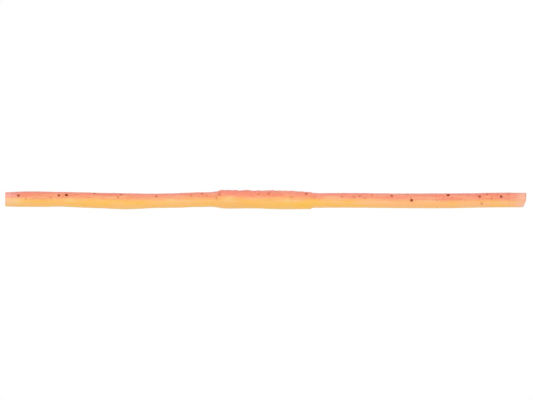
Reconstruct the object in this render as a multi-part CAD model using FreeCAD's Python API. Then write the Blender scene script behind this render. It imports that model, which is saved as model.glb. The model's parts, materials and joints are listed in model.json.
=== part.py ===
import FreeCAD, Part
import math
import os

from FreeCAD import Vector

# Soft plastic trout worm, 3 in long, moulded in two colours of soft PVC: a pink back laid on an amber belly, with
# dark hexagonal flakes near the skin and a raised collar at mid length, through which a hook goes.
# The real body is one soft moulding that bends anywhere. Here it is a chain of short rigid segments with a hinge
# between each two, side bends and lift bends by turns. At a hinge, the segment nearer to the collar ends in a round
# knuckle on the hinge's axis, the next one has the socket for it, and a V notch between them leaves room to bend.
# Frame: X runs from the square head end to the nipped tail end, +Z is the back, and the origin is the middle of the
# underside of the worm's box. Millimetres.

# Body
LENGTH = 76.2
HEAD_X, TAIL_X = -LENGTH / 2, LENGTH / 2
HEAD_RIM_ROUND = 0.2  # on the edge of the head's flat end
TAIL_WAIST = 0.42  # share of the height below which the tail's end face slants under
TAIL_LEAN = 0.09  # how far the face lies behind its top where it starts to slant
TAIL_HEEL = 0.46  # how far it lies behind its top at the bottom
SEAM_RISE = 0.15  # height of the seam between the colours above the centre line

# Stations along the worm: place, height of the belly line, height of the back line
HEAD_STATIONS = [
    (HEAD_X, 0.43, 2.52),
    (-36.6, 0.37, 2.57),
    (-35.0, 0.36, 2.62),
    (-32.0, 0.35, 2.60),
    (-29.0, 0.35, 2.52),
    (-26.0, 0.21, 2.47),
    (-23.2, 0.10, 2.40),
    (-20.5, 0.0, 2.36),
    (-18.4, 0.07, 2.31),
    (-16.2, 0.19, 2.29),
    (-13.4, 0.23, 2.35),
    (-10.4, 0.33, 2.49),
    (-8.9, 0.35, 2.51),
    (-7.7, 0.33, 2.54),
    (-7.2, 0.28, 2.59),
]
COLLAR_STATIONS = [
    (-6.85, 0.23, 2.75),
    (-6.3, 0.13, 2.82),
    (-5.0, 0.09, 2.82),
    (-3.2, 0.12, 2.80),
    (-1.5, 0.13, 2.76),
    (0.3, 0.07, 2.75),
    (2.9, 0.0, 2.73),
    (4.8, 0.02, 2.63),
    (6.5, 0.02, 2.57),
]
TAIL_STATIONS = [
    (6.8, 0.20, 2.43),
    (9.5, 0.23, 2.39),
    (13.0, 0.23, 2.39),
    (17.5, 0.20, 2.33),
    (22.0, 0.15, 2.33),
    (26.5, 0.16, 2.34),
    (30.5, 0.23, 2.37),
    (34.5, 0.29, 2.46),
    (36.4, 0.29, 2.43),
    (TAIL_X, 0.34, 2.38),
]

# Hinges: 15 of them, evenly spaced, with the odd ones bending up and down and the even ones sideways
SEGMENTS = 16
PITCH = LENGTH / SEGMENTS
ROOT = 8  # the segment at the collar that the others hang from
BEND_LIMIT = 45.0  # degrees each way
NOTCH_SPARE = 4.0  # degrees by which the V notch is wider than the bend
KNUCKLE_SHARE = 0.85  # knuckle radius over body radius
KNUCKLE_GAP = 0.05  # between knuckle and socket

# Flakes: hexagonal glitter, 0.015 in across
FLAKE_ACROSS = 0.38
FLAKE_THICK = 0.08
FLAKE_PROUD = 0.015  # of the skin, at the flake's middle
# Near side: place along the worm, and angle up from the horizontal, in degrees
NEAR_FLAKES = [
    (-36.15, 30), (-35.1, 3), (-35.0, 82), (-31.5, 11), (-30.25, 33), (-29.15, 38),
    (-25.05, 64), (-23.9, 18), (-21.6, 31), (-21.2, 57), (-16.0, 39), (-10.9, 39), (-9.3, 52),
    (-7.1, 7), (-6.7, 31), (-1.0, 37), (0.35, 47), (3.75, 20), (5.9, 52),
    (7.1, 28), (11.1, 32), (12.9, 27), (13.7, 39), (14.5, 20), (15.5, 48), (18.4, 42),
    (20.7, 61), (21.3, 4), (26.65, 50), (31.25, 32), (31.55, -26), (32.35, 58),
    (33.0, 13), (34.4, 27), (35.45, 49),
]
# Far side: so many for each segment, scattered over the middle of its length and over these angles
FAR_FLAKES = 2
FAR_PLACES = (0.24, 0.76)  # shares of the segment's length, clear of its hinges
FAR_ANGLES = (100.0, 215.0)
SCATTER_ALONG, SCATTER_AROUND = math.sqrt(2), (math.sqrt(5) - 1) / 2  # steps whose fractions never repeat

REACH = 100.0  # more than the worm's length, for cutting tools
HALF_WIDTH = 4.0  # more than the worm's radius, for cutting tools


def ring(station):
    """The round section at a station."""
    x, low, high = station
    circle = Part.Circle(Vector(x, 0, (low + high) / 2), Vector(1, 0, 0), (high - low) / 2)
    return Part.Wire([circle.toShape()])


def loft(stations):
    return Part.makeLoft([ring(s) for s in stations], True, False)


def tail_cutter():
    """Everything behind the tail's end face: nearly upright above its waist and drawn in to a heel below."""
    _, low, high = TAIL_STATIONS[-1]
    top = Vector(TAIL_X, -HALF_WIDTH, high)
    waist = Vector(TAIL_X - TAIL_LEAN, -HALF_WIDTH, low + TAIL_WAIST * (high - low))
    heel = Vector(TAIL_X - TAIL_HEEL, -HALF_WIDTH, low)
    corners = [top, waist, heel, heel + (heel - waist)]  # the last one is below the worm
    corners += [Vector(REACH, -HALF_WIDTH, corners[-1].z), Vector(REACH, -HALF_WIDTH, high + HALF_WIDTH)]
    corners += [top + Vector(0, 0, HALF_WIDTH), top]
    return Part.Face(Part.makePolygon(corners)).extrude(Vector(0, 2 * HALF_WIDTH, 0))


def whole_worm():
    """The moulding before it is split, with rims and end face finished."""
    head = loft(HEAD_STATIONS)
    rim = [e for e in head.Edges if e.BoundBox.XMax < HEAD_X + 0.01]
    head = head.makeFillet(HEAD_RIM_ROUND, rim)
    front_step = loft([HEAD_STATIONS[-1], COLLAR_STATIONS[0]])
    rear_step = loft([COLLAR_STATIONS[-1], TAIL_STATIONS[0]])
    tail = loft(TAIL_STATIONS).cut(tail_cutter())
    return head.multiFuse([front_step, loft(COLLAR_STATIONS), rear_step, tail])


def seam_line():
    """The centre line raised to the seam between the colours, and led past both ends."""
    points = [
        Vector(x, 0, (low + high) / 2 + SEAM_RISE)
        for x, low, high in HEAD_STATIONS + COLLAR_STATIONS + TAIL_STATIONS
    ]
    ends = [points[0] - Vector(HALF_WIDTH, 0, 0), points[-1] + Vector(HALF_WIDTH, 0, 0)]
    line = Part.BSplineCurve()
    line.interpolate([ends[0], *points, ends[1]])
    return line


def above_seam(line):
    """A block that holds everything over the seam."""
    start, end = line.StartPoint, line.EndPoint
    rise = Vector(0, 0, HALF_WIDTH)
    sides = [Part.LineSegment(end, end + rise), Part.LineSegment(end + rise, start + rise)]
    sides += [Part.LineSegment(start + rise, start)]
    face = Part.Face(Part.Wire([line.toShape(), *(s.toShape() for s in sides)]))
    face.translate(Vector(0, -HALF_WIDTH, 0))
    return face.extrude(Vector(0, 2 * HALF_WIDTH, 0))


def section_at(x):
    """(height of the centre line, radius) at a place along the worm, between stations."""
    stations = HEAD_STATIONS + COLLAR_STATIONS + TAIL_STATIONS
    for (xa, la, ha), (xb, lb, hb) in zip(stations, stations[1:]):
        if x <= xb:
            t = (x - xa) / (xb - xa)
            low, high = la + t * (lb - la), ha + t * (hb - ha)
            return (low + high) / 2, (high - low) / 2
    raise ValueError(f"{x} is past the tail")


def hinge_place(number):
    """The point of a hinge's axis on the centre line; hinge 1 joins segments 1 and 2."""
    x = HEAD_X + number * PITCH
    return Vector(x, 0, section_at(x)[0])


def bends_sideways(number):
    return number % 2 == 0


def prism(points, number):
    """A solid whose outline lies across a hinge's axis. A point is (distance outward, distance across)."""
    place = hinge_place(number)
    outward = Vector(1 if number >= ROOT else -1, 0, 0)
    axis, across = Vector(0, 1, 0), Vector(0, 0, 1)
    if bends_sideways(number):
        axis, across = across, axis
    corners = [place + outward * u + across * v - axis * HALF_WIDTH for u, v in points]
    return Part.Face(Part.makePolygon([*corners, corners[0]])).extrude(axis * 2 * HALF_WIDTH)


def hinge_disc(number, extra):
    """The knuckle's round, grown by extra."""
    place = hinge_place(number)
    axis = Vector(0, 0, 1) if bends_sideways(number) else Vector(0, 1, 0)
    radius = KNUCKLE_SHARE * section_at(place.x)[1] + extra
    return Part.makeCylinder(radius, 2 * HALF_WIDTH, place - axis * HALF_WIDTH, axis)


def notch_point():
    """(outward, across) of a far point on one side of the V notch."""
    half = math.radians(BEND_LIMIT + NOTCH_SPARE) / 2
    return REACH * math.sin(half), REACH * math.cos(half)


def outside_parent(number):
    """What the segment nearer to the collar leaves to the next one: all beyond its shoulders, but for the knuckle."""
    u, v = notch_point()
    beyond = prism([(0, 0), (-u, v), (REACH, v), (REACH, -v), (-u, -v)], number)
    return beyond.cut(hinge_disc(number, 0))


def outside_child(number):
    """What the outer segment leaves to the one nearer to the collar: all up to its shoulders, and the socket."""
    u, v = notch_point()
    before = prism([(0, 0), (u, v), (-REACH, v), (-REACH, -v), (u, -v)], number)
    return before.fuse(hinge_disc(number, KNUCKLE_GAP))


def segment_cutters(segment):
    """The tools that trim a segment at its head side and at its tail side."""
    cutters = []
    if segment > 1:
        hinge = segment - 1
        cutters.append(outside_parent(hinge) if segment <= ROOT else outside_child(hinge))
    if segment < SEGMENTS:
        hinge = segment
        cutters.append(outside_parent(hinge) if segment >= ROOT else outside_child(hinge))
    return cutters


def segment_at(point):
    """The number of the segment whose material is at a point: a knuckle is the segment's nearer to the collar."""
    number = min(max(round((point.x - HEAD_X) / PITCH), 1), SEGMENTS - 1)
    if hinge_disc(number, 0).isInside(point, 0, True):
        return number if number >= ROOT else number + 1
    return number if point.x < hinge_place(number).x else number + 1


def flake(worm, x, angle):
    """(its segment, a hexagonal plate) that lies in the skin at a place and at an angle up from the near side."""
    centre = Vector(x, 0, section_at(x)[0])
    out = Vector(0, -math.cos(math.radians(angle)), math.sin(math.radians(angle)))
    spoke = worm.common(Part.LineSegment(centre, centre + out * HALF_WIDTH).toShape())
    along, around = Vector(1, 0, 0), out.cross(Vector(1, 0, 0))
    middle = centre + out * (spoke.Length + FLAKE_PROUD - FLAKE_THICK)
    corner_radius = FLAKE_ACROSS / math.sqrt(3)
    turns = [x + k * math.pi / 3 for k in range(6)]  # a different turn at each place
    corners = [middle + (along * math.cos(t) + around * math.sin(t)) * corner_radius for t in turns]
    plate = Part.Face(Part.makePolygon([*corners, corners[0]])).extrude(out * FLAKE_THICK)
    return segment_at(middle), plate


def between(limits, share):
    return limits[0] + (limits[1] - limits[0]) * (share % 1)


def far_flakes():
    """Places and angles of the flakes on the far side."""
    spots = []
    for k in range(SEGMENTS * FAR_FLAKES):
        start = HEAD_X + PITCH * (k // FAR_FLAKES)
        along = between(FAR_PLACES, k * SCATTER_ALONG)
        spots.append((start + PITCH * along, between(FAR_ANGLES, k * SCATTER_AROUND)))
    return spots


def main():
    os.makedirs("parts", exist_ok=True)
    worm = whole_worm()
    over = above_seam(seam_line())
    back, belly = worm.common(over), worm.cut(over)
    flakes = [flake(worm, x, angle) for x, angle in NEAR_FLAKES + far_flakes()]
    for segment in range(1, SEGMENTS + 1):
        tools = segment_cutters(segment)
        own = [plate for holder, plate in flakes if holder == segment]
        for name, half in (("back", back), ("belly", belly)):
            shape = half.cut([*tools, *own])
            shape.exportStep(f"parts/{name}_{segment:02d}.step")
            print(name, segment, shape.isValid(), len(shape.Solids), round(shape.Volume, 3))
        group = Part.makeCompound(own).cut(tools)  # no flake reaches over a knuckle that isn't its own
        group.exportStep(f"parts/flakes_{segment:02d}.step")


main()
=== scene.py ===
import bisect
import json
import math

import bmesh
import bpy
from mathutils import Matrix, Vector, noise
from mathutils.bvhtree import BVHTree

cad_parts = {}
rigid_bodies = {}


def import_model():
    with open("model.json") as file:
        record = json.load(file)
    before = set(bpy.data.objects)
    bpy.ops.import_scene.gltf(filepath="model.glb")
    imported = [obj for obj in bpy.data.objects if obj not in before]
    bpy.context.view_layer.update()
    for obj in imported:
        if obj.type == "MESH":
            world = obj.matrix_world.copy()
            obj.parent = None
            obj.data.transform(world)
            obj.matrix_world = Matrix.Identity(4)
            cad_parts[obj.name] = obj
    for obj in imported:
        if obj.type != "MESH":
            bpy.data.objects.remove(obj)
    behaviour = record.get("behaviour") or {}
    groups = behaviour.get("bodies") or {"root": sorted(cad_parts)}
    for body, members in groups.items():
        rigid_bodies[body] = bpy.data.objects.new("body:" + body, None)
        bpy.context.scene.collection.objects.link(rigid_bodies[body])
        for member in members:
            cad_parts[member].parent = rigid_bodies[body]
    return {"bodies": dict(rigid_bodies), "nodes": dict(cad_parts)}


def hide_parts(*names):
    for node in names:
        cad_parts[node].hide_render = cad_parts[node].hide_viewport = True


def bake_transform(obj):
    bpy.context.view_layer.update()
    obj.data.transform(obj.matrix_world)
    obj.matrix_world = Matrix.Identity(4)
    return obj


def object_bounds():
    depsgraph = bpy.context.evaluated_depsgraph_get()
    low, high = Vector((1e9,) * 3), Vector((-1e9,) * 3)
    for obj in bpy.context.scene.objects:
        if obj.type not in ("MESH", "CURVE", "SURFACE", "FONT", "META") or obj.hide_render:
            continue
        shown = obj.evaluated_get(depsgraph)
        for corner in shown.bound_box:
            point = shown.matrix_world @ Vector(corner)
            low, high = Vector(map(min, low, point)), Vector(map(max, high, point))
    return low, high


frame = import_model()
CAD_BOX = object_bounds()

# Looks of the soft plastic worm: a pink pour on an amber pour, with dark glitter in both and a collar at
# mid length. The CAD frame is a chain of short segments. The skins here are continuous: each piece runs
# from the middle of one segment to the middle of the next, over the hinge between them. Metres. X runs
# from the head to the tail, +Z is the back, -Y the near side.

MM = 0.001
LOW, HIGH = CAD_BOX
LENGTH = HIGH.x - LOW.x
SEGMENTS = len(frame["bodies"])
PITCH = LENGTH / SEGMENTS
SPANS = SEGMENTS - 1  # one for each hinge

# Mesh
RING_STEP = 0.11 * MM
HALF_AROUND = 72  # steps of each half round
CAP_STEPS = 10  # from the seam to the skin on an end face
RIM_STEPS = 6  # round the quarter circle of an end's rim
SHARP_EDGE = math.radians(50)  # edges that bend more than this shade sharply
SAME_POINT = 1e-8  # points of a skin this close are one
SAME_CORNER = 1e-7  # and so are a CAD flake's, whose faces don't share their corners

# Outline, read from the CAD pours between the hinges' gaps
READ_STEP = 0.05 * MM
READ_SIDE = 0.004 * MM  # a little off the edges that lie along the middle
HINGE_CLEAR = 1.15 * MM  # half of what is left out at a hinge
FAR = 10 * MM  # farther off than any part of the section
LEAN_REACH = 0.96  # share of the radius within which the tail's slanted face is read

# Ends
HEAD_RIM, TAIL_RIM = 0.22 * MM, 0.14 * MM  # rounding of the end faces' rims
END_STRETCH = 1.6 * MM  # the stretch that leans with the tail's slanted face
END_HOLLOW = 0.05 * MM  # how far the middle of an end face sinks

# Hand-poured unevenness
SWELL, SWELL_LENGTH, SWELL_SEED = 0.01 * MM, 6.5 * MM, Vector((3.1, 0, 0))
LUMP, LUMP_LENGTH, LUMP_SEED = 0.02 * MM, 0.7 * MM, Vector((0, 7.7, 0))
COLLAR_LUMPS = 4.5  # times as lumpy on top of the collar
COLLAR = (-7.2 * MM, 6.6 * MM)

# The line between the colours: share of the length, and height over the centre as a share of the radius
SEAM_LINE = [
    (0, 0.22), (0.03, 0.14), (0.055, 0.0), (0.11, 0.12), (0.18, 0.23), (0.26, 0.18), (0.45, 0.15),
    (0.5, 0.13), (0.56, 0.18), (0.63, 0.17), (0.71, 0.09), (0.8, 0.0), (0.92, -0.05), (1, -0.12),
]
SEAM_WAVE, SEAM_WAVE_LENGTH, SEAM_SEED = 0.04, 5 * MM, 11  # the wave's height is a share of the radius

# Glitter
FLAKE_RADIUS = 0.22 * MM
FLAKE_THICK = 0.02 * MM
FLAKE_BEVEL = 0.006 * MM
FLAKE_TOP = 0.97  # share of the radius where the bevel starts
FLAKE_PROUD = 0.01 * MM  # how far a flake stands out of the skin
FLAKE_MATCH = 0.35 * MM  # how near a flake lies to the place that the list gives it
# How plainly the near side's flakes show, by place along the worm in mm. A deep flake is faint.
NEAR_FLAKES = [
    (-36.15, 0.58), (-35.0, 0.11), (-31.5, 0.05), (-30.25, 0.43), (-29.15, 1.0), (-25.05, 0.3),
    (-23.9, 0.03), (-21.6, 0.12), (-21.2, 0.25), (-16.0, 0.2), (-10.9, 0.14), (-9.3, 0.22),
    (-7.1, 0.12), (-6.7, 0.2), (-1.0, 0.12), (0.35, 0.18), (3.75, 0.08), (5.9, 0.3), (7.1, 0.08),
    (11.1, 0.08), (12.9, 0.14), (13.7, 0.16), (14.5, 0.07), (15.5, 0.1), (18.4, 0.34), (20.7, 0.12),
    (21.3, 0.76), (26.65, 1.0), (31.25, 0.43), (31.55, 0.15), (32.35, 0.22), (33.0, 0.1),
    (34.4, 0.6), (35.45, 0.12),
]
FAR_FAINT, FAR_PLAIN = 0.15, 0.9  # the limits of the same on the far side
CHANCE_LENGTH = 0.37 * MM  # of the noise that picks between them
HALO_REACH = 0.3 * MM  # how far a flake's colour shows through the soft plastic
HALO_END = 4  # reaches, past which nothing of it is left

# Pale spots where the plastic holds fine bubbles: place in mm, height as a share of the radius, reach in mm
PALE_SPOTS = [
    (-36.4, -0.3, 1.0), (-28.7, -0.05, 0.8), (-14.0, 0.0, 0.7), (-5.4, 0.0, 0.8), (3.2, -0.05, 0.4),
]
PALE_HEIGHT = 0.3  # reach up and down, as a share of the radius

# Colours, linear
WHITE = (1, 1, 1, 1)
LIGHT, LIGHT_BELOW = 1.0, 0.94  # what the room's light multiplies a base colour by, above and below
GLOSS = 0.03  # what the skin's gloss adds


def srgb(red, green, blue):
    """A linear colour from 0 to 255 display values."""
    shares = [v / 255 for v in (red, green, blue)]
    return (*[v / 12.92 if v <= 0.04045 else ((v + 0.055) / 1.055) ** 2.4 for v in shares], 1)


# ---------------------------------------------------------------- outline


def pour_tree():
    """The pink and amber CAD solids in one tree for rays, in mm: in metres it loses faces this small."""
    points, faces = [], []
    for name, node in frame["nodes"].items():
        if name.startswith(("back_", "belly_")):
            start = len(points)
            points += [v.co / MM for v in node.data.vertices]
            faces += [[start + i for i in p.vertices] for p in node.data.polygons]
    return BVHTree.FromPolygons(points, faces)


def first_hit(start, way):
    """Where a ray first meets the pours."""
    return TREE.ray_cast(Vector(start) / MM, Vector(way))[0] * MM


def middle_of(segment):
    return LOW.x + (segment - 0.5) * PITCH


def read_outline():
    """Places along the worm, clear of the hinges' gaps, with the belly's and the back's height at each."""
    places, bellies, backs = [], [], []
    count = round(LENGTH / READ_STEP)
    for k in range(count + 1):
        x = LOW.x + (LENGTH - READ_STEP) * k / count + READ_STEP / 2
        hinge = min(max(round((x - LOW.x) / PITCH), 1), SPANS)
        if abs(x - LOW.x - hinge * PITCH) < HINGE_CLEAR:
            continue
        if x - LOW.x < 2 * HEAD_RIM or HIGH.x - x < END_STRETCH:
            continue
        places.append(x)
        bellies.append(first_hit((x, READ_SIDE, -FAR), (0, 0, 1)).z)
        backs.append(first_hit((x, READ_SIDE, FAR), (0, 0, -1)).z)
    return places, bellies, backs


def between(table, places, x):
    """The table's value at x, on a straight line between its places and level past them."""
    i = bisect.bisect_left(places, x)
    if i == 0:
        return table[0]
    if i == len(places):
        return table[-1]
    t = (x - places[i - 1]) / (places[i] - places[i - 1])
    return table[i - 1] + t * (table[i] - table[i - 1])


TREE = pour_tree()
PLACES, BELLIES, BACKS = read_outline()


def section(x):
    """(height of the centre line, radius) at a place along the worm."""
    low, high = between(BELLIES, PLACES, x), between(BACKS, PLACES, x)
    return (low + high) / 2, (high - low) / 2


def tail_lean(z):
    """How far the tail's end face lies behind its foremost point, at a height."""
    centre, radius = section(HIGH.x)
    height = min(max(z, centre - LEAN_REACH * radius), centre + LEAN_REACH * radius)
    return HIGH.x - first_hit((HIGH.x + FAR, READ_SIDE, height), (-1, 0, 0)).x


def smooth(t):
    t = min(max(t, 0), 1)
    return t * t * (3 - 2 * t)


def rim_cut(x):
    """How much smaller the radius is where an end's rim rounds off."""
    for gap, rim in ((x - LOW.x, HEAD_RIM), (HIGH.x - x, TAIL_RIM)):
        if gap < rim:
            return rim - math.sqrt(max(rim * rim - (rim - gap) ** 2, 0))
    return 0


def lumps(x, y, z):
    """How far the skin stands in or out from a true round, at a point."""
    swell = noise.noise(Vector((x, y, z)) / SWELL_LENGTH + SWELL_SEED)
    lump = noise.noise(Vector((x, y, z)) / LUMP_LENGTH + LUMP_SEED)
    more = COLLAR_LUMPS if COLLAR[0] < x < COLLAR[1] and z > 0 else 1
    return SWELL * swell + LUMP * more * lump


def seam_share(x):
    """Height of the line between the colours over the centre line, as a share of the radius."""
    share = (x - LOW.x) / LENGTH
    level = between([h for _, h in SEAM_LINE], [s for s, _ in SEAM_LINE], share)
    wave = noise.noise(Vector((x / SEAM_WAVE_LENGTH, 0, SEAM_SEED)))
    return level + SEAM_WAVE * wave


def skin_point(x, angle):
    """A point of the skin, with the angle counted from the near side upwards."""
    centre, radius = section(x)
    y, z = -math.cos(angle), math.sin(angle)
    off_ends = smooth((x - LOW.x) / HEAD_RIM / 2) * smooth((HIGH.x - x) / TAIL_RIM / 2)
    r = radius - rim_cut(x) + lumps(x, y * radius, z * radius) * off_ends
    return leaned(Vector((x, y * r, centre + z * r)))


def leaned(point):
    """A point of the last stretch, moved back to follow the tail's slanted face."""
    share = smooth((point.x - (HIGH.x - END_STRETCH)) / END_STRETCH)
    if share > 0:
        point.x -= share * tail_lean(point.z)
    return point


# ---------------------------------------------------------------- skins


def ring_places(span):
    """Where the rings of a span's skins stand: close together at a rounded rim."""
    start = LOW.x if span == 1 else middle_of(span)
    end = HIGH.x if span == SPANS else middle_of(span + 1)
    steps = math.ceil((end - start) / RING_STEP)
    places = [start + (end - start) * k / steps for k in range(steps + 1)]
    for at, way, rim in ((LOW.x, 1, HEAD_RIM), (HIGH.x, -1, TAIL_RIM)):
        if start <= at <= end:
            places = [p for p in places if abs(p - at) >= rim]
            turns = [math.radians(90 * k / RIM_STEPS) for k in range(RIM_STEPS)]
            places += [at + way * rim * (1 - math.cos(turn)) for turn in turns]
            places.append(at + way * rim)
    return sorted(set(places))


def half_angles(x, upper):
    """Angles of a half round's points, from the seam on the near side to the seam on the far side."""
    start = math.asin(seam_share(x))
    end = (math.pi if upper else -math.pi) - start
    return [start + (end - start) * k / HALF_AROUND for k in range(HALF_AROUND + 1)]


def half_ring(x, upper):
    """The skin's points and the seam's points under them, at a place."""
    skin = [skin_point(x, a) for a in half_angles(x, upper)]
    near, far = skin[0], skin[-1]
    seam = []
    for k in range(HALF_AROUND + 1):
        share = (1 - math.cos(math.pi * k / HALF_AROUND)) / 2
        seam.append(near.lerp(far, share))
    return skin, seam


def end_grid(skin, seam, outward):
    """Rows of points from the seam to the skin over an end face, a little hollow in the middle."""
    centre = (seam[0] + seam[-1]) / 2
    reach = (seam[0] - centre).length
    rows = []
    for j in range(CAP_STEPS + 1):
        row = []
        for a, b in zip(seam, skin):
            point = a.lerp(b, j / CAP_STEPS)
            off = min((point - centre).yz.length / reach, 1)
            row.append(point - Vector((outward * END_HOLLOW * (1 - off * off) ** 2, 0, 0)))
        rows.append(row)
    return rows


def half_skin(span, upper):
    """A closed half round over a span: skin, seam face and both end faces."""
    mesh = bmesh.new()
    rings = [half_ring(x, upper) for x in ring_places(span)]
    skins = [[mesh.verts.new(p) for p in skin] for skin, _ in rings]
    seams = [[mesh.verts.new(p) for p in seam] for _, seam in rings]
    add_strips(mesh, skins)
    add_strips(mesh, seams[::-1])
    for which, outward in ((0, -1), (-1, 1)):
        hollow = outward if (span, which) in ((1, 0), (SPANS, -1)) else 0
        rows = [[mesh.verts.new(p) for p in row] for row in end_grid(*rings[which], hollow)]
        add_strips(mesh, rows if outward > 0 else rows[::-1])
    bmesh.ops.remove_doubles(mesh, verts=mesh.verts, dist=SAME_POINT)
    bmesh.ops.recalc_face_normals(mesh, faces=mesh.faces)
    shade(mesh)
    return mesh


def add_strips(mesh, rows):
    """Quads between each two rows of points."""
    for a, b in zip(rows, rows[1:]):
        for k in range(len(a) - 1):
            mesh.faces.new((a[k], a[k + 1], b[k + 1], b[k]))


def shade(mesh):
    """The skin shades smoothly and meets the hidden faces in a sharp edge."""
    for face in mesh.faces:
        face.smooth = True
    for edge in mesh.edges:
        edge.smooth = len(edge.link_faces) == 2 and edge.calc_face_angle(0) < SHARP_EDGE


# ---------------------------------------------------------------- glitter


def islands(node):
    """The middles of a node's separate solids."""
    mesh = bmesh.new()
    mesh.from_mesh(node.data)
    bmesh.ops.remove_doubles(mesh, verts=mesh.verts, dist=SAME_CORNER)
    mesh.verts.index_update()
    left, middles = set(mesh.verts), []
    while left:
        group, reached = set(), [left.pop()]
        while reached:
            vert = reached.pop()
            group.add(vert)
            near = {e.other_vert(vert) for e in vert.link_edges} - group
            reached += [v for v in near if v in left]
            left -= near
        points = [v.co for v in sorted(group, key=lambda vert: vert.index)]
        middles.append(sum(points, Vector()) / len(points))
    mesh.free()
    return middles


def plainness(place):
    """How plainly a flake shows, from 0 to 1."""
    if place.y < 0:
        nearest = min(NEAR_FLAKES, key=lambda flake: abs(place.x - flake[0] * MM))
        if abs(place.x - nearest[0] * MM) < FLAKE_MATCH:
            return nearest[1]
    chance = noise.noise(place / CHANCE_LENGTH) + 0.5
    return FAR_FAINT + (FAR_PLAIN - FAR_FAINT) * min(max(chance, 0), 1) ** 2


def all_flakes():
    """The middle and plainness of each flake, from the head to the tail."""
    found = []
    for name, node in sorted(frame["nodes"].items()):
        if name.startswith("flakes_"):
            found += [(place, plainness(place)) for place in islands(node)]
    return sorted(found, key=lambda flake: flake[0].x)


def flake_mesh(mesh, place, plain, layer):
    """Adds a hexagonal plate that lies in the skin, with its rim bevelled."""
    out = Vector((0, place.y, place.z - section(place.x)[0])).normalized()
    along, around = Vector((1, 0, 0)), out.cross(Vector((1, 0, 0)))
    top = skin_point(place.x, math.atan2(out.z, -out.y)) + out * FLAKE_PROUD
    turn = place.x / MM  # so each flake lies turned its own way
    rows = []
    for r, depth in ((0, 0), (FLAKE_TOP, 0), (1, FLAKE_BEVEL), (1, FLAKE_THICK), (0, FLAKE_THICK)):
        points = []
        for k in range(6):
            a = turn + k * math.pi / 3
            side = (along * math.cos(a) + around * math.sin(a)) * FLAKE_RADIUS * r
            points.append(top + side - out * depth)
        rows.append([mesh.verts.new(p) for p in points] if r else [mesh.verts.new(points[0])])
    for vert in (v for row in rows for v in row):
        vert[layer] = plain
    for a, b in zip(rows, rows[1:]):
        for k in range(6):
            quad = [a[k % len(a)], a[(k + 1) % len(a)], b[(k + 1) % len(b)], b[k % len(b)]]
            mesh.faces.new(list(dict.fromkeys(quad)))


def glitter(span, flakes):
    """The flakes of a span, as one mesh of separate plates."""
    start = LOW.x - MM if span == 1 else middle_of(span)
    end = HIGH.x + MM if span == SPANS else middle_of(span + 1)
    mesh = bmesh.new()
    layer = mesh.verts.layers.float.new("plain")
    for place, plain in flakes:
        if start <= place.x < end:
            flake_mesh(mesh, place, plain, layer)
    bmesh.ops.recalc_face_normals(mesh, faces=mesh.faces)
    return mesh


# ---------------------------------------------------------------- what the materials read


def add_attribute(mesh, name, kind, values):
    """A value for each point of a mesh, for its material to read."""
    attribute = mesh.attributes.new(name, kind, "POINT")
    attribute.data.foreach_set("vector" if kind == "FLOAT_VECTOR" else "value", values)


def glow(place, flakes, starts):
    """How much of the flakes' colour shows through the plastic at a point, from 0 to 1."""
    first = bisect.bisect_left(starts, place.x - HALO_END * HALO_REACH)
    last = bisect.bisect_right(starts, place.x + HALO_END * HALO_REACH)
    total = 0
    for spot, plain in flakes[first:last]:
        off = (place - spot).length / HALO_REACH
        total += plain * math.exp(-off * off)
    return min(total, 1)


def paleness(place, height):
    """How much of a pale spot is at a point, from 0 to 1."""
    total = 0
    for x, level, reach in PALE_SPOTS:
        along, up = (place.x / MM - x) / reach, (height - level) / PALE_HEIGHT
        if place.y < 0:
            total += math.exp(-along * along - up * up)
    return min(total, 1)


def add_shares(mesh, flakes):
    """What the colours depend on at each point, all taken at rest, so that they stay put in a bend."""
    points = [v.co.copy() for v in mesh.vertices]
    starts = [place.x for place, _ in flakes]
    rest, heights = [], []
    for point in points:
        centre, radius = section(point.x)
        rest.extend(point / MM)
        heights.append((point.z - centre) / radius)
    add_attribute(mesh, "rest", "FLOAT_VECTOR", rest)
    add_attribute(mesh, "height", "FLOAT", heights)
    add_attribute(mesh, "along", "FLOAT", [(p.x - LOW.x) / LENGTH for p in points])
    add_attribute(mesh, "halo", "FLOAT", [glow(p, flakes, starts) for p in points])
    add_attribute(mesh, "pale", "FLOAT", [paleness(p, h) for p, h in zip(points, heights)])


# ---------------------------------------------------------------- materials


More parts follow.
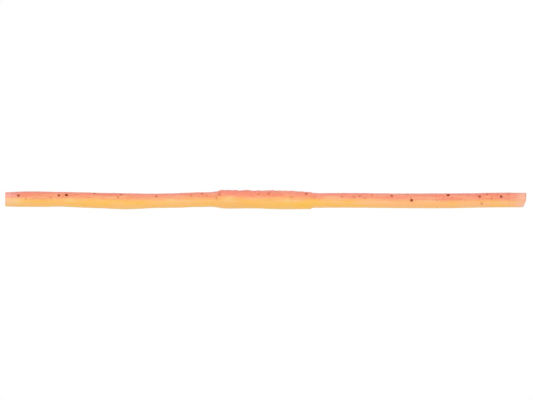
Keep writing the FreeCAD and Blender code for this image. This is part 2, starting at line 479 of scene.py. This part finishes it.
class Nodes:
    """A short way to write a node tree."""

    def __init__(self, name):
        self.material = bpy.data.materials.new(name)
        self.material.use_nodes = True
        self.tree = self.material.node_tree
        self.shader = self.tree.nodes["Principled BSDF"]

    def add(self, kind, **values):
        node = self.tree.nodes.new(kind)
        for key, value in values.items():
            setattr(node, key, value)
        return node

    def link(self, a, b):
        self.tree.links.new(a, b)

    def attribute(self, name, output="Fac"):
        return self.add("ShaderNodeAttribute", attribute_name=name).outputs[output]

    def math(self, operation, a, b=0.0, clamp=False):
        node = self.add("ShaderNodeMath", operation=operation, use_clamp=clamp)
        for socket, value in zip(node.inputs, (a, b)):
            if isinstance(value, (int, float)):
                socket.default_value = value
            else:
                self.link(value, socket)
        return node.outputs[0]

    def scaled(self, vector, scale):
        node = self.add("ShaderNodeVectorMath", operation="MULTIPLY")
        self.link(vector, node.inputs[0])
        node.inputs[1].default_value = scale
        return node.outputs[0]

    def noise(self, vector, scale, detail=3.0, rough=0.55):
        node = self.add("ShaderNodeTexNoise")
        self.link(vector, node.inputs["Vector"])
        node.inputs["Scale"].default_value = scale
        node.inputs["Detail"].default_value = detail
        node.inputs["Roughness"].default_value = rough
        return node.outputs["Fac"]

    def place(self):
        """Where a point lies at rest: in mm, by height over the centre line and by share of the length."""
        return self.attribute("rest", "Vector"), self.attribute("height"), self.attribute("along")

    def rise(self, value, start, end, most=1.0, ease="LINEAR"):
        """Nothing up to the start, and the most from the end on."""
        return self.ramp(value, [(start, grey(0)), (end, grey(most))], ease)

    def ramp(self, value, stops, ease="LINEAR"):
        node = self.add("ShaderNodeValToRGB")
        node.color_ramp.interpolation = ease
        elements = node.color_ramp.elements
        while len(elements) < len(stops):
            elements.new(0.5)
        for element, (place, colour) in zip(elements, stops):
            element.position = place
            element.color = colour
        self.link(value, node.inputs["Fac"])
        return node.outputs["Color"]

    def mix(self, share, a, b):
        node = self.add("ShaderNodeMix", data_type="RGBA")
        for socket, value in zip((node.inputs[0], node.inputs[6], node.inputs[7]), (share, a, b)):
            if isinstance(value, (int, float, tuple)):
                socket.default_value = value
            else:
                self.link(value, socket)
        return node.outputs[2]


def grey(value):
    return (value, value, value, 1)


def shown(red, green, blue, light=LIGHT):
    """The base colour that the room's light and the skin's gloss turn into these display values."""
    return (*[min(max((v - GLOSS) / light, 0), 1) for v in srgb(red, green, blue)[:3]], 1)


def under(red, green, blue):
    """The same for the underside, which the lamps reach less."""
    return shown(red, green, blue, LIGHT_BELOW)


# Colours along the worm, by share of its length
PINKS = [
    (0.0, shown(252, 172, 164)), (0.015, shown(250, 164, 148)), (0.035, shown(248, 150, 118)),
    (0.18, shown(249, 155, 121)), (0.33, shown(250, 162, 130)), (0.42, shown(250, 150, 123)),
    (0.5, shown(250, 150, 117)), (0.6, shown(251, 157, 129)), (0.8, shown(249, 155, 128)),
    (0.98, shown(249, 155, 129)), (0.989, shown(251, 176, 158)), (0.996, shown(246, 172, 156)),
    # The last stop is painted shade: the tail's cut face turns darker and grey-brown
    (1.0, shown(186, 136, 128)),
]
AMBERS = [
    (0.0, under(250, 202, 164)), (0.018, under(250, 200, 148)), (0.035, under(250, 192, 110)),
    (0.2, under(252, 194, 112)), (0.36, under(251, 193, 122)), (0.45, under(249, 188, 108)),
    (0.55, under(253, 198, 99)), (0.64, under(252, 194, 120)), (0.75, under(252, 189, 128)),
    (0.9, under(251, 186, 126)), (0.98, under(251, 186, 130)), (0.989, under(252, 198, 162)),
    (1.0, under(236, 190, 158)),
]
PEACH = shown(253, 184, 128)  # between the pours
DEEP_PINK, DEEP_AMBER = shown(246, 143, 110), under(249, 192, 88)
PALE_PEACH, PALE_YELLOW = shown(254, 202, 148), shown(252, 212, 136)
# The crown and keel colours are painted shade: darker along the top and bottom edges
CROWN_SHADE, KEEL_SHADE, PALE_END = shown(231, 141, 133), under(243, 196, 124), shown(251, 192, 164)
FLAKE_SHADE, SPECK = shown(200, 110, 80), shown(165, 95, 80)
BLUR = 0.17  # how far the colours run into each other, as a share of the radius
RAGGED = 0.6  # how far the streaks push that line up and down

# How pale the plastic is near its cut ends, by share of the length
ENDS = [
    (0.0, grey(0.18)), (0.012, grey(0.12)), (0.03, grey(0)), (0.968, grey(0)), (0.982, grey(0.2)),
    (0.99, grey(0.6)), (0.996, grey(0.55)), (1.0, grey(0.1)),
]

# Noises in the plastic, per mm each way: lower along the worm, so that they run along it
STREAKS, BANDS, CLOUDS = (0.2, 2.4, 2.4), (0.13, 1.5, 1.5), (0.25, 0.6, 0.6)
FLECKS, DRAGS = (1.8, 3.4, 3.4), (0.4, 3.0, 3.0)
DIMPLE_SCALE, DUST_SCALE = 3.5, 3.2  # the same each way, and so is the film's grain
FILM_SCALE = (8.0, 8.0, 8.0)

# Where each tint starts, where it is strongest, and its share there
DEEP_RISE, PALE_RISE = (0.47, 0.66, 0.75), (0.5, 0.66, 0.5)  # by clouds and bands
CROWN_SHADE_RISE, KEEL_SHADE_RISE = (0.6, 0.97, 0.7), (0.75, 1.0, 0.8)  # painted shade along the top and bottom edges, by height and depth
SPECK_RISE, RIDGE_RISE = (0.64, 0.74, 0.5, "EASE"), (0.8, 0.93, 1.0, "EASE")  # by flecks and height
DUST_RISE = (0.62, 0.72, 0.45)
SPOT_SHARE, HALO_SHARE = 0.6, 0.35


def pours(nodes, height, along, streaks):
    """Pink over amber with peach between them, and how far a point is over the line from 0 to 1."""
    line = nodes.ramp(along, [(share, grey(0.5 + level / 2)) for share, level in SEAM_LINE], "EASE")
    level = nodes.math("MULTIPLY", nodes.math("SUBTRACT", line, 0.5), 2.0)
    over = nodes.math("SUBTRACT", height, level)
    over = nodes.math("ADD", over, nodes.math("MULTIPLY", nodes.math("SUBTRACT", streaks, 0.5), RAGGED))
    share = nodes.math("ADD", nodes.math("MULTIPLY", over, 0.25 / BLUR), 0.5)
    pink, amber = nodes.ramp(along, PINKS), nodes.ramp(along, AMBERS)
    upper = nodes.mix(nodes.rise(share, 0.45, 0.95, ease="EASE"), PEACH, pink)
    return nodes.mix(nodes.rise(share, 0.0, 0.6, ease="EASE"), amber, upper), share


def soft_plastic(name):
    """Soft PVC: two colours that run into each other, tints along the worm, and the glitter's glow."""
    nodes = Nodes(name)
    rest, height, along = nodes.place()
    streaks = nodes.noise(nodes.scaled(rest, STREAKS), 1.0, 3.0, 0.6)
    colour, over = pours(nodes, height, along, streaks)
    colour = tinted(nodes, colour, over, rest, height, along)
    colour = dusted(nodes, colour, over, rest, height)
    nodes.link(colour, nodes.shader.inputs["Base Color"])
    add_surface(nodes, rest)
    return nodes.material


def tinted(nodes, colour, over, rest, height, along):
    """The colour with its deeper clouds, paler bands, pale spots, painted shade along the top and bottom
    edges, and pale ends.
    """
    bands = nodes.noise(nodes.scaled(rest, BANDS), 1.7, 2.0)
    clouds = nodes.noise(nodes.scaled(rest, CLOUDS), 1.0, 3.0)
    depth = nodes.math("MULTIPLY", height, -1.0)
    colour = nodes.mix(nodes.rise(clouds, *DEEP_RISE), colour, nodes.mix(over, DEEP_AMBER, DEEP_PINK))
    colour = nodes.mix(nodes.rise(bands, *PALE_RISE), colour, PALE_PEACH)
    colour = nodes.mix(nodes.math("MULTIPLY", nodes.attribute("pale"), SPOT_SHARE), colour, PALE_YELLOW)
    # Painted shade: darker towards the top and bottom edges
    colour = nodes.mix(nodes.rise(height, *CROWN_SHADE_RISE), colour, CROWN_SHADE)
    colour = nodes.mix(nodes.rise(depth, *KEEL_SHADE_RISE), colour, KEEL_SHADE)
    return nodes.mix(nodes.ramp(along, ENDS), colour, PALE_END)


def dusted(nodes, colour, over, rest, height):
    """The colour with dark specks along the ridge, fine dust in the pink, and the flakes' glow."""
    flecks = nodes.noise(nodes.scaled(rest, FLECKS), 1.3, 1.0)
    specks = nodes.math("MULTIPLY", nodes.rise(flecks, *SPECK_RISE), nodes.rise(height, *RIDGE_RISE))
    dust = nodes.rise(nodes.noise(rest, DUST_SCALE, 1.0), *DUST_RISE)
    colour = nodes.mix(specks, colour, SPECK)
    colour = nodes.mix(nodes.math("MULTIPLY", dust, over, clamp=True), colour, FLAKE_SHADE)
    return nodes.mix(nodes.math("MULTIPLY", nodes.attribute("halo"), HALO_SHARE), colour, FLAKE_SHADE)


def add_surface(nodes, rest):
    """A satin skin with the fine dimples and drag lines of a poured bait."""
    shader = nodes.shader
    shader.inputs["IOR"].default_value = 1.5
    shader.inputs["Specular IOR Level"].default_value = 0.3
    dimples = nodes.noise(rest, DIMPLE_SCALE, 3.0)
    drags = nodes.noise(nodes.scaled(rest, DRAGS), 1.0, 2.0)
    rough = nodes.ramp(dimples, [(0.3, grey(0.36)), (0.7, grey(0.5))])
    nodes.link(rough, shader.inputs["Roughness"])
    height = nodes.math("ADD", nodes.math("MULTIPLY", dimples, 0.6), nodes.math("MULTIPLY", drags, 0.8))
    bump = nodes.add("ShaderNodeBump")
    bump.inputs["Strength"].default_value = 0.35
    bump.inputs["Distance"].default_value = 0.02 * MM
    nodes.link(height, bump.inputs["Height"])
    nodes.link(bump.outputs["Normal"], shader.inputs["Normal"])


FILM, FILM_GRAIN = srgb(126, 38, 14), srgb(160, 74, 34)
GRAIN_SHARE = 0.12
# How much of the film's own colour shows, by how plainly the flake does
FILM_SHARE = [(0.0, grey(0)), (0.4, grey(0.68)), (1.0, WHITE)]


def glitter_film():
    """Dark red film: darkest at the skin, and nearer to the plastic's colour the deeper a flake lies."""
    nodes = Nodes("dark_glitter")
    rest, height, along = nodes.place()
    grain = nodes.noise(nodes.scaled(rest, FILM_SCALE), 1.0)
    plastic, _ = pours(nodes, height, along, grain)
    film = nodes.mix(nodes.math("MULTIPLY", grain, GRAIN_SHARE), FILM, FILM_GRAIN)
    colour = nodes.mix(nodes.ramp(nodes.attribute("plain"), FILM_SHARE), plastic, film)
    nodes.link(colour, nodes.shader.inputs["Base Color"])
    rough = nodes.ramp(grain, [(0.3, grey(0.3)), (0.7, grey(0.45))])
    nodes.link(rough, nodes.shader.inputs["Roughness"])
    nodes.shader.inputs["Specular IOR Level"].default_value = 0.0  # the plastic over it has the gloss
    return nodes.material


# ---------------------------------------------------------------- pieces


def make_piece(name, mesh, material, span, replaced):
    """Turns mesh data into a piece that lies over its hinge and hides the CAD nodes that it takes the place
    of.
    """
    data = bpy.data.meshes.new(name)
    mesh.to_mesh(data)
    mesh.free()
    data.materials.append(material)
    piece = bpy.data.objects.new(name, data)
    bpy.context.scene.collection.objects.link(piece)
    centre = section(middle_of(span))[0]
    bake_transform(piece)
    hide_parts(f"{replaced}_{span:02d}", f"{replaced}_{span + 1:02d}")
    return piece


def make_worm():
    flakes = all_flakes()
    plastic = {"pink": soft_plastic("pink_plastic"), "amber": soft_plastic("amber_plastic")}
    film = glitter_film()
    for span in range(1, SPANS + 1):
        upper, lower, plates = half_skin(span, True), half_skin(span, False), glitter(span, flakes)
        pink = make_piece(f"pink_skin_{span:02d}", upper, plastic["pink"], span, "back")
        amber = make_piece(f"amber_skin_{span:02d}", lower, plastic["amber"], span, "belly")
        dark = make_piece(f"glitter_{span:02d}", plates, film, span, "flakes")
        for piece in (pink, amber, dark):
            add_shares(piece.data, flakes)


# ---------------------------------------------------------------- stage, light and camera

WORM_SHARE = 0.97824  # of the picture's width
CAMERA_SIDE = 0.1 * MM  # the worm sits a little left of the middle
CAMERA_DROP = 0.05 * MM  # and a little above it
CAMERA_DISTANCE = 3 * LENGTH
FLOOR_DROP = 1.2 * MM  # under the depth that half the worm reaches when it bends down at one hinge
FLOOR_SIZE = 40 * LENGTH
HINGE_LIMIT = math.radians(45)


def make_stage():
    """A wide pale floor, below the reach of the bent ends."""
    level = LOW.z - (LENGTH / 2) * math.sin(HINGE_LIMIT) - FLOOR_DROP
    mesh = bmesh.new()
    bmesh.ops.create_grid(mesh, x_segments=8, y_segments=8, size=FLOOR_SIZE / 2)
    data = bpy.data.meshes.new("floor")
    mesh.to_mesh(data)
    mesh.free()
    floor = bpy.data.objects.new("floor", data)
    floor.location = (0, 0, level)
    bpy.context.scene.collection.objects.link(floor)
    nodes = Nodes("pale_floor")
    nodes.shader.inputs["Base Color"].default_value = grey(0.93)
    nodes.shader.inputs["Roughness"].default_value = 0.9
    nodes.shader.inputs["Specular IOR Level"].default_value = 0.1
    data.materials.append(nodes.material)


ROOM_LIGHT = 0.9
# Name, place in metres, width in metres and power in watts of each lamp
LAMPS = [("key", (-0.12, -0.25, 0.3), 0.25, 0.2), ("fill", (0.2, -0.25, 0.05), 0.3, 0.08)]


def make_light():
    """A white room with a broad soft lamp over the head's side and a weaker one at the tail's."""
    world = bpy.data.worlds.new("white_room")
    bpy.context.scene.world = world
    world.use_nodes = True
    tree = world.node_tree
    seen = tree.nodes.new("ShaderNodeMapRange")  # pure white to look at, a little dimmer as a light
    seen.inputs["To Min"].default_value = ROOM_LIGHT
    seen.inputs["To Max"].default_value = 1.0
    tree.links.new(tree.nodes.new("ShaderNodeLightPath").outputs["Is Camera Ray"], seen.inputs["Value"])
    tree.links.new(seen.outputs[0], tree.nodes["Background"].inputs["Strength"])
    tree.nodes["Background"].inputs["Color"].default_value = WHITE
    for name, place, size, power in LAMPS:
        data = bpy.data.lights.new(name, "AREA")
        data.shape = "DISK"
        data.size = size
        data.energy = power
        lamp = bpy.data.objects.new(name, data)
        lamp.location = place
        lamp.rotation_euler = (-Vector(place)).to_track_quat("-Z", "Y").to_euler()
        bpy.context.scene.collection.objects.link(lamp)
    bpy.context.scene.view_settings.view_transform = "Standard"


def make_camera():
    data = bpy.data.cameras.new("camera")
    data.type = "ORTHO"
    data.ortho_scale = LENGTH / WORM_SHARE
    camera = bpy.data.objects.new("camera", data)
    camera.location = (CAMERA_SIDE, -CAMERA_DISTANCE, (LOW.z + HIGH.z) / 2 - CAMERA_DROP)
    camera.rotation_euler = (math.pi / 2, 0, 0)
    bpy.context.scene.collection.objects.link(camera)
    bpy.context.scene.camera = camera


make_camera()
make_worm()
make_stage()
make_light()
